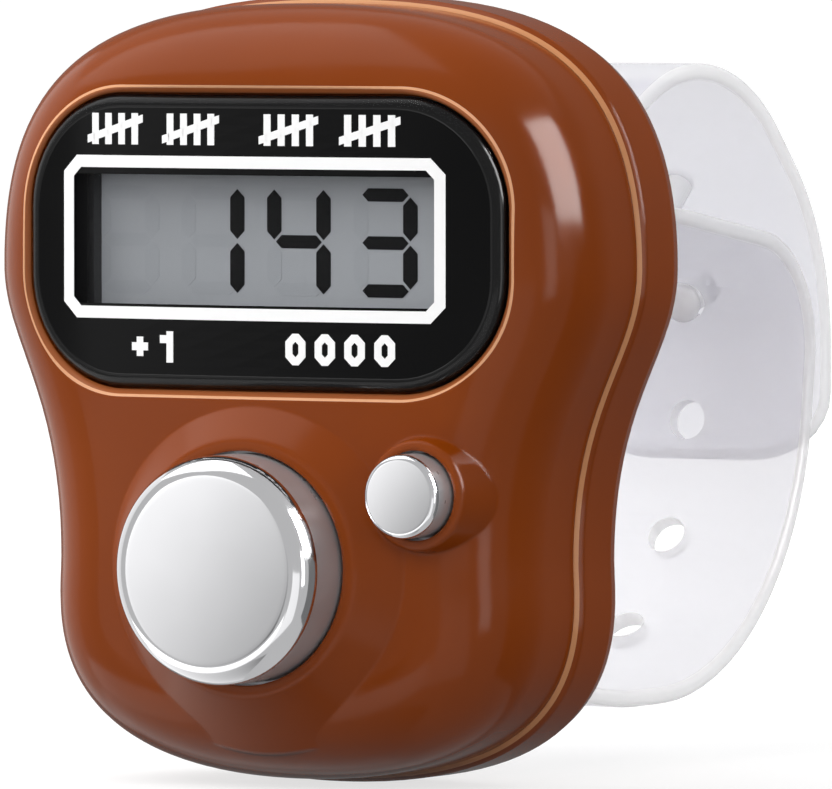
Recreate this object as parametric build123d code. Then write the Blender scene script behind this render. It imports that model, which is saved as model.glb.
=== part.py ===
from build123d import *
from math import cos, radians, sin, sqrt
import os

# Finger-worn counter. X runs across the front, +Z is up, and the front faces -Y.
# The origin is the axis of the finger loop, level with the middle of the case. Millimetres.

# Case
case_width = 36.3
waist_width = 28.7
case_height = 40.9
widest_drop = 13.9
waist_drop = 29.35
front_depth = 8.6
rear_depth = 4.9
finger_room = 17.0
wall = 1.5
rear_lip = 0.4
front_edge_radius = 5.0
rear_edge_radius = 1.6
rear_edge_steps = 3
inner_edge = 1.7
crown_radius = 110.0
tongue_height = 1.2
tongue_wall = 0.8
tongue_fit = 0.12
tongue_root = 1.0
cut_overrun = 1.0

# Bend of the outline: handle lengths as shares of the stretch that they shape
top_share = 0.595
shoulder_share = 0.833
flank_start_share = 0.301
flank_end_share = 0.567
cheek_share = 0.212
chin_share = 1.129

# Display window
lens_width = 28.9
lens_height = 15.4
lens_corner = 6.0
lens_drop = 12.5
lens_thickness = 1.0
lens_bevel = 0.3
lens_fit = 0.12
mask_thickness = 0.08
mask_reveal = 0.2
mask_corner = 0.6
adhesive_thickness = 0.12
ledge_depth = 2.35
ledge_margin = 0.7
recess_rim = 0.4

# Liquid crystal display and its bezel
bezel_width = 24.4
bezel_height = 11.2
bezel_side_cover = 1.2
bezel_end_cover = 2.1
bezel_front_depth = 1.9
bezel_wall = 0.85
bezel_sheet = 0.35
bezel_corner = 1.6
bezel_fit = 0.1
glass_width = 24.4
glass_height = 11.8
glass_thickness = 0.6
contact_ledge = 1.7
film_thickness = 0.2
film_margin = 0.4
glass_fit = 0.1
zebra_margin = 0.95
zebra_thickness = 1.3

# Circuit board
board_depth = 6.0
board_thickness = 1.0
board_gap = 0.8
boss_fit = 0.25
chip_gap = 1.95
chip_above = 1.65
chip_radius = 2.6
chip_height = 1.0
chip_length = 1.6
chip_width = 0.8
chip_rise = 0.5
small_chip_gap = 4.15
resistor_above = 3.05
capacitor_above = 0.45

# Screws
case_screw_radius = 0.8
case_screw_length = 6.0
case_head_radius = 1.4
case_head_height = 0.9
case_head_sink = 1.4
upper_screw_above = 3.05
lower_screw_inset = 4.05
lower_screw_above = 2.8
case_boss_radius = 1.6
case_boss_gap = 0.15
rear_tube_radius = 2.1
board_screw_radius = 0.7
board_screw_length = 3.6
board_head_radius = 1.3
board_head_height = 0.8
side_post_inset = 2.95
board_post_radius = 1.3
board_post_gap = 0.3
screw_fit = 0.05
head_fit = 0.12
head_bevel_share = 0.3
recess_length_share = 1.3
recess_width_share = 0.3
recess_depth_share = 0.55

# Count button and the mound that carries it
count_drop = 29.5
count_radius = 6.0
count_proud = 3.7
count_edge = 1.2
count_rim_rise = 1.3
count_rim_radius = 6.75
count_foot_radius = 10.0
count_foot_depth = 1.2
count_flange_radius = 6.9
count_stem_radius = 2.0

# Reset button and its collar
reset_inset = 4.35
reset_drop = 25.5
reset_radius = 2.2
reset_proud = 1.7
reset_edge = 0.35
reset_rim_rise = 0.5
reset_rim_radius = 2.85
reset_foot_radius = 3.45
reset_foot_depth = 2.4
reset_flange_radius = 2.65
reset_stem_radius = 1.0

# Both buttons
button_fit = 0.15
button_wall = 0.9
button_dome = 0.22
flange_depth = 0.7
mound_wall = 1.3
rim_round_share = 0.09

# Push switches under the buttons
count_switch_side = 6.0
reset_switch_side = 4.0
switch_height = 2.8
switch_floor = 0.4
switch_cover_sheet = 0.2
switch_tab_height = 1.4
switch_tab_width_share = 0.5
switch_plunger_rise = 1.1
switch_plunger_radius = 1.0
switch_plunger_fit = 0.1
switch_collar_radius = 1.35
switch_collar_height = 0.6
switch_well_radius = 1.6
switch_dome_radius = 1.45
switch_dome_height = 0.6
switch_dome_sheet = 0.1

# Button cell and its contacts
cell_radius = 5.8
cell_height = 3.05
cell_cap_radius = 4.9
cell_cap_height = 0.35
cell_edge = 0.3
cell_gap = 0.6
contact_sheet = 0.22
contact_width = 4.0
spring_length = 7.0
clip_side_gap = 0.35
clip_foot = 1.5
cell_fence_gap = 0.3
cell_fence_wall = 0.8
cell_fence_clear = 0.7

# Silicone straps
strap_width = 15.0
strap_thickness = 0.9
strap_fit = 0.15
strap_tip_radius = 4.0
anchor_depth = 1.9
anchor_height = 2.2
anchor_rib = 0.8
anchor_rib_height = 1.8
upper_slot_drop = 10.85
lower_slot_rise = 4.25

# Upper strap route: back from the rear face of the case, and up from the finger axis
upper_exit = 5.0
crest_back = 24.2
crest_up = 19.4
shoulder_back = 36.6
shoulder_up = 7.0
curl_up = -3.2
tip_back = 35.05
tip_up = -4.95
upper_exit_radius = 12.0
crest_radius = 12.5
shoulder_radius = 14.0
curl_radius = 4.6

# Lower strap route, measured the same way
lower_exit = 4.0
dip_back = 13.5
dip_up = -17.3
heel_back = 32.4
inner_curl_back = 35.5
inner_curl_up = 6.4
inner_tip_back = 17.0
inner_tip_up = 9.2
lower_exit_radius = 20.0
dip_radius = 20.0
heel_radius = 17.0
inner_curl_radius = 6.2

# Pegs of the upper strap and holes of the lower one
peg_count = 2
peg_pitch = 7.0
peg_from_tip = 9.7
peg_radius = 0.8
peg_stem = 2.55
peg_head_radius = 1.15
peg_head_height = 0.65
peg_hole_radius = 1.1
holes_below = 3
holes_above = 1

# Derived places
top = case_height / 2
bottom = -top
widest_z = top - widest_drop
waist_z = top - waist_drop
back_y = -finger_room
part_y = back_y - rear_depth
crown_y = part_y - front_depth
crown_sag = crown_radius - sqrt(crown_radius**2 - (case_width / 2) ** 2)
rear_floor_y = back_y - wall
lens_z = top - lens_drop
recess_depth = lens_thickness + mask_thickness + adhesive_thickness
ledge_back_y = crown_y + ledge_depth
bezel_front_y = crown_y + bezel_front_depth
bezel_opening_width = glass_width - 2 * bezel_side_cover
bezel_opening_height = glass_height - 2 * bezel_end_cover
bezel_border = glass_fit + bezel_wall
bezel_side_x = glass_width / 2 + bezel_border
bezel_top_z = lens_z + glass_height / 2 + bezel_border
bezel_foot_z = lens_z - glass_height / 2 - bezel_border
glass_y = ledge_back_y + bezel_sheet
board_front_y = crown_y + board_depth
board_back_y = board_front_y + board_thickness
count_z = top - count_drop
count_rim_y = crown_y - count_rim_rise
reset_x = waist_width / 2 - reset_inset
reset_z = top - reset_drop
reset_rim_y = crown_y - reset_rim_rise
switch_front_y = board_front_y - switch_height
switch_cover_y = switch_front_y - switch_cover_sheet
switch_floor_y = board_front_y - switch_floor
plunger_front_y = switch_cover_y - switch_plunger_rise
cell_front_y = board_back_y + cell_gap
cell_back_y = cell_front_y + cell_height
upper_slot_z = top - upper_slot_drop
lower_slot_z = bottom + lower_slot_rise
cell_z = (upper_slot_z + lower_slot_z) / 2
anchor_y = rear_floor_y - anchor_depth / 2
upper_screw_x = bezel_side_x + bezel_fit + case_boss_gap + case_boss_radius
upper_screw_z = lens_z + upper_screw_above
board_notch_x = upper_screw_x - case_boss_radius - boss_fit
chip_x = chip_gap + chip_radius - board_notch_x
chip_z = lens_z + chip_above
small_chip_x = board_notch_x - small_chip_gap - chip_length / 2
lower_screw_x = waist_width / 2 - lower_screw_inset
lower_screw_z = lower_slot_z + lower_screw_above
side_post_x = waist_width / 2 - side_post_inset
side_post_z = (reset_z + reset_switch_side / 2 + bezel_foot_z) / 2
top_post_z = bezel_top_z + bezel_fit + board_post_gap + board_post_radius
case_screw_spots = [
    (side * across, up)
    for across, up in ((upper_screw_x, upper_screw_z), (lower_screw_x, lower_screw_z))
    for side in (-1, 1)
]
board_screw_spots = [(-side_post_x, side_post_z), (side_post_x, side_post_z), (0, top_post_z)]


def at_depth(sketch, y):
    """Outline drawn in X and Z, set at a depth in Y."""
    return Plane.XZ.offset(-y) * sketch


def slab(sketch, front, back):
    """Solid with an outline drawn in X and Z, between two depths in Y."""
    return extrude(at_depth(sketch, back), amount=back - front)


def disc(x, z, radius, front, back):
    """Round bar along Y."""
    return slab(Pos(x, z) * Circle(radius), front, back)


def block(x, z, width, height, front, back):
    """Square bar along Y."""
    return slab(Pos(x, z) * Rectangle(width, height), front, back)


def turned(profile, x, z):
    """Revolved solid about the Y line through x and z, from a profile in radius and depth."""
    seat = Plane(origin=(x, 0, z), x_dir=(1, 0, 0), z_dir=(0, 0, 1))
    return revolve(seat * profile, Axis((x, 0, z), (0, 1, 0)))


def outline(inset):
    """Case outline in X and Z, drawn inwards by inset."""
    head = case_width / 2 - inset
    waist = waist_width / 2 - inset
    high = top - inset
    low = bottom + inset
    flank = widest_z - waist_z
    right = [
        Bezier(
            (0, high),
            (top_share * head, high),
            (head, widest_z + shoulder_share * (high - widest_z)),
            (head, widest_z),
        ),
        Bezier(
            (head, widest_z),
            (head, widest_z - flank_start_share * flank),
            (waist, waist_z + flank_end_share * flank),
            (waist, waist_z),
        ),
        Bezier(
            (waist, waist_z),
            (waist, waist_z - cheek_share * (waist_z - low)),
            (chin_share * waist, low),
            (0, low),
        ),
    ]
    left = [edge.mirror(Plane.YZ) for edge in right]
    return make_face(right + left)


def crown_drum(depth):
    """Upright drum whose side lies at a depth behind the crowned front."""
    return Pos(0, crown_y + crown_radius, 0) * Cylinder(crown_radius - depth, 2 * case_height)


def front_form():
    """Crowned front of the case with its rounded edge."""
    form = slab(outline(0), crown_y - cut_overrun, part_y) & crown_drum(0)
    rim = form.faces().sort_by(Axis.Y)[0].edges()
    return fillet(rim, front_edge_radius)


def front_room(inset, back):
    """Space inside the front of the case, drawn inwards by inset, with a bevelled front edge."""
    narrow = outline(inset + inner_edge)
    bevel_front = crown_y + inset + crown_sag
    bevel_back = bevel_front + inner_edge
    room = slab(narrow, crown_y - cut_overrun, bevel_front) & crown_drum(inset)
    room += loft([at_depth(narrow, bevel_front), at_depth(outline(inset), bevel_back)], ruled=True)
    return room + slab(outline(inset), bevel_back, back)


def curved_layer(sketch, front, back):
    """Sheet that follows the crown between two depths."""
    prism = slab(sketch, crown_y - cut_overrun, crown_y + front_depth)
    return (prism & crown_drum(front)) - crown_drum(back)


def lens_shape(margin):
    """Window outline, grown by margin."""
    grown = 2 * margin
    return Pos(0, lens_z) * RectangleRounded(lens_width + grown, lens_height + grown, lens_corner + margin)


def bezel_frame(margin):
    """Outer outline of the display bezel, grown by margin."""
    width = 2 * (bezel_side_x + margin)
    height = bezel_top_z - bezel_foot_z + 2 * margin
    return Pos(0, lens_z) * RectangleRounded(width, height, bezel_corner + margin)


def mound(x, z, rim_y, rim_radius, foot_y, foot_radius):
    """Raised seat round a button: a flat rim that rolls over into a slope that sinks into the face."""
    flank = make_face(Polyline((0, foot_y), (0, rim_y), (rim_radius, rim_y), (foot_radius, foot_y), close=True))
    solid = turned(flank, x, z)
    rim = solid.edges().filter_by(GeomType.CIRCLE).sort_by(Axis.Y)[0]
    return fillet(rim, rim_radius * rim_round_share)


def lens_recess():
    """Waste of the window's recess: its floor follows the crown, and its rim is bevelled."""
    mouth = slab(lens_shape(lens_fit), crown_y - cut_overrun, crown_y + front_depth)
    rim_reach = recess_rim + lens_fit
    flare = slab(lens_shape(lens_fit + rim_reach), crown_y - cut_overrun, crown_y + front_depth)
    flare -= crown_drum(rim_reach)
    flare = chamfer(flare.faces().sort_by(Axis.Y)[-1].edges(), rim_reach + lens_fit)
    return mouth - crown_drum(recess_depth) + flare


def front_shell():
    """Crowned front half of the case with its button seats, bosses and board posts."""
    shell = front_form() - lens_recess()
    window = slab(lens_shape(lens_fit), crown_y - cut_overrun, crown_y + front_depth)
    for seat in (
        mound(0, count_z, count_rim_y, count_rim_radius, crown_y + count_foot_depth, count_foot_radius),
        mound(reset_x, reset_z, reset_rim_y, reset_rim_radius, crown_y + reset_foot_depth, reset_foot_radius),
    ):
        shell += seat - window
    shell -= front_room(wall, part_y + cut_overrun)
    core = front_room(wall / 2, part_y) & crown_drum(recess_depth)
    shell += slab(lens_shape(ledge_margin), crown_y, ledge_back_y) & core
    for x, z in case_screw_spots:
        shell += disc(x, z, case_boss_radius, crown_y, part_y) & core
    for x, z in board_screw_spots:
        shell += disc(x, z, board_post_radius, crown_y, board_front_y) & core
    shell -= slab(bezel_frame(bezel_fit), ledge_back_y, board_front_y)
    for x, z in case_screw_spots:
        pilot_end = back_y - case_head_sink - case_screw_length - cut_overrun / 2
        shell -= disc(x, z, case_screw_radius + screw_fit, pilot_end, part_y + cut_overrun)
    for x, z in board_screw_spots:
        pilot_end = board_back_y - board_screw_length
        shell -= disc(x, z, board_screw_radius + screw_fit, pilot_end, part_y)
    shell -= block(
        0, lens_z, bezel_width + 2 * bezel_fit, bezel_height + 2 * bezel_fit, crown_y, board_front_y
    )
    for x, z, rim_y, radius, flange_radius in (
        (0, count_z, count_rim_y, count_radius, count_flange_radius),
        (reset_x, reset_z, reset_rim_y, reset_radius, reset_flange_radius),
    ):
        shell -= disc(x, z, radius + button_fit, rim_y - cut_overrun, board_front_y)
        shell -= disc(x, z, flange_radius + button_fit, rim_y + mound_wall, board_front_y)
    return shell


def strap_slot(z):
    """Slot through the rear wall for one strap."""
    wide = strap_width + 2 * strap_fit
    tall = strap_thickness + 2 * strap_fit
    return block(0, z, wide, tall, rear_floor_y - cut_overrun, back_y + cut_overrun)


def anchor_ribs(z):
    """Pair of ribs inside the rear wall that keep a strap's anchor bar in place."""
    offset = anchor_height / 2 + strap_fit + anchor_rib / 2
    front = rear_floor_y - anchor_rib_height
    return [block(0, z + side * offset, strap_width, anchor_rib, front, back_y - wall / 2) for side in (-1, 1)]


def rear_edge_sections():
    """Outlines at even steps round the rear edge, from the side wall to the rear face."""
    sections = []
    for step in range(rear_edge_steps + 1):
        angle = radians(90 * step / rear_edge_steps)
        inset = rear_edge_radius * (1 - cos(angle)) - rear_lip
        y = back_y - rear_edge_radius * (1 - sin(angle))
        sections.append(at_depth(outline(inset), y))
    return sections


def rear_shell():
    """Shallow back half of the case with its tongue, screw tubes, strap slots and cell fence."""
    lip_y = part_y + rear_lip
    body = loft([at_depth(outline(0), part_y), at_depth(outline(-rear_lip), lip_y)], ruled=True)
    body += slab(outline(-rear_lip), lip_y, back_y - rear_edge_radius)
    body += loft(rear_edge_sections(), ruled=True)
    cavity = slab(outline(wall), part_y - cut_overrun, rear_floor_y)
    core = slab(outline(wall / 2), part_y - tongue_height, back_y - wall / 2)
    shell = body - cavity
    tongue_outer = wall + tongue_fit
    tongue_inner = tongue_outer + tongue_wall
    tongue = slab(outline(tongue_outer), part_y - tongue_height, part_y + tongue_root)
    tongue += slab(outline(wall / 2), part_y, part_y + tongue_root)
    shell += tongue - slab(outline(tongue_inner), part_y - tongue_height - cut_overrun, back_y)
    for x, z in case_screw_spots:
        shell -= disc(x, z, case_boss_radius + boss_fit, part_y - front_depth, part_y)
        shell += disc(x, z, rear_tube_radius, part_y, back_y - wall / 2) & core
    fence_radius = cell_radius + cell_fence_gap
    fence_front = board_back_y + cell_fence_clear
    fence = disc(0, cell_z, fence_radius + cell_fence_wall, fence_front, back_y - wall / 2)
    fence -= disc(0, cell_z, fence_radius, fence_front - cut_overrun, rear_floor_y)
    clip_gap = contact_width + 2 * cell_fence_gap
    shell += fence - block(0, cell_z, clip_gap, 4 * cell_radius, fence_front - cut_overrun, rear_floor_y)
    for z in (upper_slot_z, lower_slot_z):
        for rib in anchor_ribs(z):
            shell += rib & core
        shell -= strap_slot(z)
    for x, z in case_screw_spots:
        shell -= disc(x, z, case_screw_radius + head_fit, part_y - cut_overrun, back_y)
        shell -= disc(x, z, case_head_radius + head_fit, back_y - case_head_sink, back_y + cut_overrun)
    return shell


def display_lens():
    """Clear curved window with a bevelled front edge."""
    lens = curved_layer(lens_shape(0), 0, lens_thickness)
    return chamfer(lens.faces().sort_by(Axis.Y)[0].edges(), lens_bevel)


def lens_mask():
    """Dark film behind the window with an opening for the digits."""
    width = bezel_opening_width + 2 * mask_reveal
    height = bezel_opening_height + 2 * mask_reveal
    opening = Pos(0, lens_z) * RectangleRounded(width, height, mask_corner)
    return curved_layer(lens_shape(0) - opening, lens_thickness, lens_thickness + mask_thickness)


def lens_adhesive():
    """Ring of tape that holds the window on its ledge."""
    opening = Pos(0, lens_z) * Rectangle(bezel_width + 2 * bezel_fit, bezel_height + 2 * bezel_fit)
    return curved_layer(lens_shape(0) - opening, lens_thickness + mask_thickness, recess_depth)


def lcd_bezel():
    """Dark frame that shows round the digits and holds the display glass against the case."""
    bezel = block(0, lens_z, bezel_width, bezel_height, bezel_front_y, board_front_y)
    bezel += slab(bezel_frame(0), ledge_back_y, board_front_y)
    bezel -= block(0, lens_z, glass_width + 2 * glass_fit, glass_height + 2 * glass_fit, glass_y, board_front_y)
    return bezel - block(
        0, lens_z, bezel_opening_width, bezel_opening_height, bezel_front_y - cut_overrun, board_front_y
    )


def display_stack():
    """Two glasses between polarizing films, with the front glass longer at the bottom for its contacts."""
    rear_height = glass_height - contact_ledge
    rear_z = lens_z + contact_ledge / 2
    film_width = glass_width - 2 * film_margin
    film_back = glass_y + film_thickness
    front_back = film_back + glass_thickness
    rear_back = front_back + glass_thickness
    zebra_z = lens_z - glass_height / 2 + contact_ledge / 2
    return {
        "lcd_front_polarizer": block(
            0, lens_z, film_width, glass_height - 2 * film_margin, glass_y, film_back
        ),
        "lcd_front_glass": block(0, lens_z, glass_width, glass_height, film_back, front_back),
        "lcd_rear_glass": block(0, rear_z, glass_width, rear_height, front_back, rear_back),
        "lcd_reflector": block(
            0, rear_z, film_width, rear_height - 2 * film_margin, rear_back, rear_back + film_thickness
        ),
        "zebra_connector": block(
            0, zebra_z, glass_width - 2 * zebra_margin, zebra_thickness, front_back, board_front_y
        ),
    }


def circuit_board():
    """Board cut to the case, notched round the bosses and drilled for its screws."""
    board = slab(outline(wall + board_gap), board_front_y, board_back_y)
    for x, z in case_screw_spots:
        board -= disc(x, z, case_boss_radius + boss_fit, crown_y, part_y)
    for x, z in board_screw_spots:
        board -= disc(x, z, board_screw_radius + head_fit, crown_y, part_y)
    return board


def chip_blob():
    """Drop of black resin over the bonded chip."""
    sphere_radius = (chip_radius**2 + chip_height**2) / (2 * chip_height)
    ball = Pos(chip_x, board_back_y + chip_height - sphere_radius, chip_z) * Sphere(sphere_radius)
    return ball & disc(chip_x, chip_z, chip_radius, board_back_y, board_back_y + chip_height)


def small_chip(x, z):
    """Surface-mounted part on the back of the board."""
    return block(x, z, chip_length, chip_width, board_back_y, board_back_y + chip_rise)


def push_switch(name, x, z, side):
    """Square push switch: base, metal cover, snap dome and plunger."""
    base = block(x, z, side, side, switch_front_y, board_front_y)
    base -= disc(x, z, switch_well_radius, switch_front_y - cut_overrun, switch_floor_y)
    cover = block(x, z, side, side, switch_cover_y, switch_front_y)
    for end in (-1, 1):
        tab_x = x + end * (side + switch_cover_sheet) / 2
        cover += block(
            tab_x,
            z,
            switch_cover_sheet,
            side * switch_tab_width_share,
            switch_cover_y,
            switch_front_y + switch_tab_height,
        )
    cover -= disc(
        x, z, switch_plunger_radius + switch_plunger_fit, switch_cover_y - cut_overrun, switch_front_y + cut_overrun
    )
    apex_y = switch_floor_y - switch_dome_height
    sphere_radius = (switch_dome_radius**2 + switch_dome_height**2) / (2 * switch_dome_height)
    centre = Pos(x, apex_y + sphere_radius, z)
    dome = centre * Sphere(sphere_radius) - centre * Sphere(sphere_radius - switch_dome_sheet)
    dome &= disc(x, z, switch_dome_radius, apex_y, switch_floor_y)
    collar_front = apex_y - switch_collar_height
    plunger = disc(x, z, switch_plunger_radius, plunger_front_y, apex_y)
    plunger += disc(x, z, switch_collar_radius, collar_front, apex_y)
    return {
        name + "_switch_base": base,
        name + "_switch_cover": cover,
        name + "_switch_dome": dome,
        name + "_switch_plunger": plunger,
    }


def button(x, z, rim_y, radius, proud, edge, flange_radius, stem_radius):
    """Plated cap with a flange that keeps it behind the rim and a stem that rests on its switch."""
    face_y = rim_y - proud
    flange_front = rim_y + mound_wall
    flange_back = flange_front + flange_depth
    dome = button_dome * radius / count_radius
    sphere_radius = (radius**2 + dome**2) / (2 * dome)
    bore = radius - button_wall
    roof_y = face_y + edge + button_wall
    crown = RadiusArc((0, face_y), (radius, face_y + dome), -sphere_radius)
    sides = Polyline(
        (radius, face_y + dome),
        (radius, flange_front),
        (flange_radius, flange_front),
        (flange_radius, flange_back),
        (bore, flange_back),
        (bore, roof_y),
        (stem_radius, roof_y),
        (stem_radius, plunger_front_y),
        (0, plunger_front_y),
        (0, face_y),
    )
    profile = make_face([crown, *sides.edges()])
    shoulder = profile.vertices().sort_by_distance((radius, face_y + dome))[0]
    return turned(fillet(shoulder, edge), x, z)


def button_cell():
    """Coin cell with its smaller negative cap towards the board."""
    can = disc(0, cell_z, cell_radius, cell_front_y + cell_cap_height, cell_back_y)
    can = chamfer(can.edges().filter_by(GeomType.CIRCLE), cell_edge)
    return can + disc(0, cell_z, cell_cap_radius, cell_front_y, cell_front_y + cell_cap_height)


def strip(profile):
    """Contact strip bent from sheet, from a profile in Y and Z."""
    return extrude(Plane.YZ * profile, amount=contact_width / 2, both=True)


def cell_clip():
    """Positive clip that bridges the cell, with a foot on the board at each end."""
    inner = cell_radius + clip_side_gap
    outer = inner + contact_sheet
    bridge = Pos((board_back_y + cell_back_y + contact_sheet) / 2, cell_z) * Rectangle(
        cell_back_y + contact_sheet - board_back_y, 2 * outer
    )
    bridge -= Pos((board_back_y + cell_back_y) / 2, cell_z) * Rectangle(cell_back_y - board_back_y, 2 * inner)
    for side in (-1, 1):
        foot_z = cell_z + side * (outer + clip_foot / 2)
        bridge += Pos(board_back_y + contact_sheet / 2, foot_z) * Rectangle(contact_sheet, clip_foot)
    return strip(bridge)


def cell_spring():
    """Bowed negative leaf between the board and the cell."""
    bow = ThreePointArc(
        (board_back_y + contact_sheet / 2, cell_z - spring_length / 2),
        (cell_front_y - contact_sheet / 2, cell_z),
        (board_back_y + contact_sheet / 2, cell_z + spring_length / 2),
    )
    return strip(trace(bow, contact_sheet)) & block(
        0, cell_z, cell_radius * 2, cell_radius * 2, board_back_y, cell_front_y
    )


def screw(x, z, seat_y, radius, length, head_radius, head_height):
    """Cross-recess screw driven from the back."""
    head = disc(x, z, head_radius, seat_y, seat_y + head_height)
    head = chamfer(head.edges().filter_by(GeomType.CIRCLE).sort_by(Axis.Y)[-1], head_height * head_bevel_share)
    long_side = head_radius * recess_length_share
    short_side = head_radius * recess_width_share
    recess_floor = seat_y + head_height * (1 - recess_depth_share)
    recess_top = seat_y + head_height + cut_overrun
    for width, height in ((long_side, short_side), (short_side, long_side)):
        head -= block(x, z, width, height, recess_floor, recess_top)
    return head + disc(x, z, radius, seat_y - length, seat_y)


def case_screws():
    """Four screws sunk in the rear shell."""
    seat_y = back_y - case_head_sink
    sizes = (case_screw_radius, case_screw_length, case_head_radius, case_head_height)
    return Compound([screw(x, z, seat_y, *sizes) for x, z in case_screw_spots])


def board_screws():
    """Three screws that hold the board to its posts."""
    sizes = (board_screw_radius, board_screw_length, board_head_radius, board_head_height)
    return Compound([screw(x, z, board_back_y, *sizes) for x, z in board_screw_spots])


def tip_corners(path):
    """Waste outside the rounded corners of a strap's tip."""
    tip = Plane(origin=path @ 1, x_dir=(1, 0, 0), z_dir=Vector(1, 0, 0).cross(path % 1))
    reach = strap_tip_radius + cut_overrun
    waste = Sketch()
    for side in (-1, 1):
        centre_x = side * (strap_width / 2 - strap_tip_radius)
        corner = Pos(centre_x + side * reach / 2, reach / 2 - strap_tip_radius) * Rectangle(reach, reach)
        waste += corner - Pos(centre_x, -strap_tip_radius) * Circle(strap_tip_radius)
    return extrude(tip * waste, amount=strap_tip_radius / 2, both=True)


def strap_body(path, slot_z):
    """Flat band along a path in Y and Z, with a rounded tip and an anchor bar in the case."""
    start = Plane(origin=path @ 0, x_dir=(1, 0, 0), z_dir=path % 0)
    band = sweep(start * Rectangle(strap_width, strap_thickness), path=path)
    band -= tip_corners(path)
    return band + block(0, slot_z, strap_width, anchor_height, rear_floor_y - anchor_depth, rear_floor_y)


upper_path = FilletPolyline(
    (0, anchor_y, upper_slot_z),
    (0, back_y + upper_exit, upper_slot_z),
    (0, back_y + crest_back, crest_up),
    (0, back_y + shoulder_back, shoulder_up),
    (0, back_y + shoulder_back, curl_up),
    (0, back_y + tip_back, tip_up),
    radius=[upper_exit_radius, crest_radius, shoulder_radius, curl_radius],
)
lower_path = FilletPolyline(
    (0, anchor_y, lower_slot_z),
    (0, back_y + lower_exit, lower_slot_z),
    (0, back_y + dip_back, dip_up),
    (0, back_y + heel_back, dip_up),
    (0, back_y + inner_curl_back, inner_curl_up),
    (0, back_y + inner_tip_back, inner_tip_up),
    radius=[lower_exit_radius, dip_radius, heel_radius, inner_curl_radius],
)


def peg_seat(number):
    """Plane on the inner face of the upper strap under a peg, counted from the tip, facing the finger."""
    share = 1 - (peg_from_tip + number * peg_pitch) / upper_path.length
    along = upper_path % share
    inwards = Vector(1, 0, 0).cross(along) * -1
    return Plane(origin=upper_path @ share + inwards * (strap_thickness / 2), x_dir=(1, 0, 0), z_dir=inwards)


def peg():
    """Mushroom peg, drawn upwards from the face that it grows from."""
    root = strap_thickness / 2
    stem = Pos(0, 0, (peg_stem - root) / 2) * Cylinder(peg_radius, peg_stem + root)
    head = Pos(0, 0, peg_stem + peg_head_height / 2) * Cone(peg_head_radius, peg_radius, peg_head_height)
    return stem + head


def upper_strap():
    """Strap arm over the finger, with pegs on its inner face."""
    strap = strap_body(upper_path, upper_slot_z)
    for number in range(peg_count):
        strap += peg_seat(number) * peg()
    return strap


def lower_strap():
    """Strap arm under the finger, with a row of holes, one of them round the first peg."""
    strap = strap_body(lower_path, lower_slot_z)
    seat = peg_seat(0)
    reach = Edge.make_line(seat.origin, seat.origin + seat.z_dir * (2 * peg_stem))
    engaged = lower_path.distance_to_with_closest_points(reach)[1]
    share = lower_path.param_at_point(engaged)
    drill = Cylinder(peg_hole_radius, 2 * strap_thickness)
    strap -= Plane(origin=engaged, x_dir=(1, 0, 0), z_dir=seat.z_dir) * drill
    for step in range(-holes_below, holes_above + 1):
        if step:
            spot = share + step * peg_pitch / lower_path.length
            across = Vector(1, 0, 0).cross(lower_path % spot)
            strap -= Plane(origin=lower_path @ spot, x_dir=(1, 0, 0), z_dir=across) * drill
    return strap


nodes = {
    "front_shell": front_shell(),
    "rear_shell": rear_shell(),
    "display_lens": display_lens(),
    "lens_mask": lens_mask(),
    "lens_adhesive": lens_adhesive(),
    "lcd_bezel": lcd_bezel(),
    "circuit_board": circuit_board(),
    "chip_blob": chip_blob(),
    "resistor": small_chip(small_chip_x, lens_z + resistor_above),
    "capacitor": small_chip(small_chip_x, lens_z + capacitor_above),
    "button_cell": button_cell(),
    "cell_clip": cell_clip(),
    "cell_spring": cell_spring(),
    "board_screws": board_screws(),
    "case_screws": case_screws(),
    "count_button": button(
        0, count_z, count_rim_y, count_radius, count_proud, count_edge, count_flange_radius, count_stem_radius
    ),
    "reset_button": button(
        reset_x, reset_z, reset_rim_y, reset_radius, reset_proud, reset_edge, reset_flange_radius, reset_stem_radius
    ),
    "upper_strap": upper_strap(),
    "lower_strap": lower_strap(),
}
nodes.update(display_stack())
nodes.update(push_switch("count", 0, count_z, count_switch_side))
nodes.update(push_switch("reset", reset_x, reset_z, reset_switch_side))

os.makedirs("parts", exist_ok=True)
for name, shape in nodes.items():
    export_step(shape, f"parts/{name}.step")
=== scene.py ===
import bmesh
import bpy
from math import acos, asin, cos, pi, radians, sin, sqrt
from mathutils import Matrix, Vector


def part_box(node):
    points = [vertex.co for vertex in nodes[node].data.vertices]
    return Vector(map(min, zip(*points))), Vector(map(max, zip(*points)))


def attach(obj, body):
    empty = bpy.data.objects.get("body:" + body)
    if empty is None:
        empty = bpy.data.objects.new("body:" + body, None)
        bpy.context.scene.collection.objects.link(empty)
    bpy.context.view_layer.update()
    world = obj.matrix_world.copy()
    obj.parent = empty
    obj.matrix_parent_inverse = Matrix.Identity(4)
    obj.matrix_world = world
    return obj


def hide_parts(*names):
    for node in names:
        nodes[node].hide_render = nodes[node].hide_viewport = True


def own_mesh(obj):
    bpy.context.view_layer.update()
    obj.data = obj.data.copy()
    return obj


# Finger-worn counter in its studio. Metres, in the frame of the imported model: front towards -Y, +Z up.
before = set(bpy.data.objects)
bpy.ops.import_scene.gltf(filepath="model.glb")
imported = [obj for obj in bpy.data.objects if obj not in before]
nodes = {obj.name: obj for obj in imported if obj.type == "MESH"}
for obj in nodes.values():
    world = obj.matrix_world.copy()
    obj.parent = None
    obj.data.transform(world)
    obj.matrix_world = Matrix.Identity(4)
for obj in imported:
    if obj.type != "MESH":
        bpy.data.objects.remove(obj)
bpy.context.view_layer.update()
mm = 0.001

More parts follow.
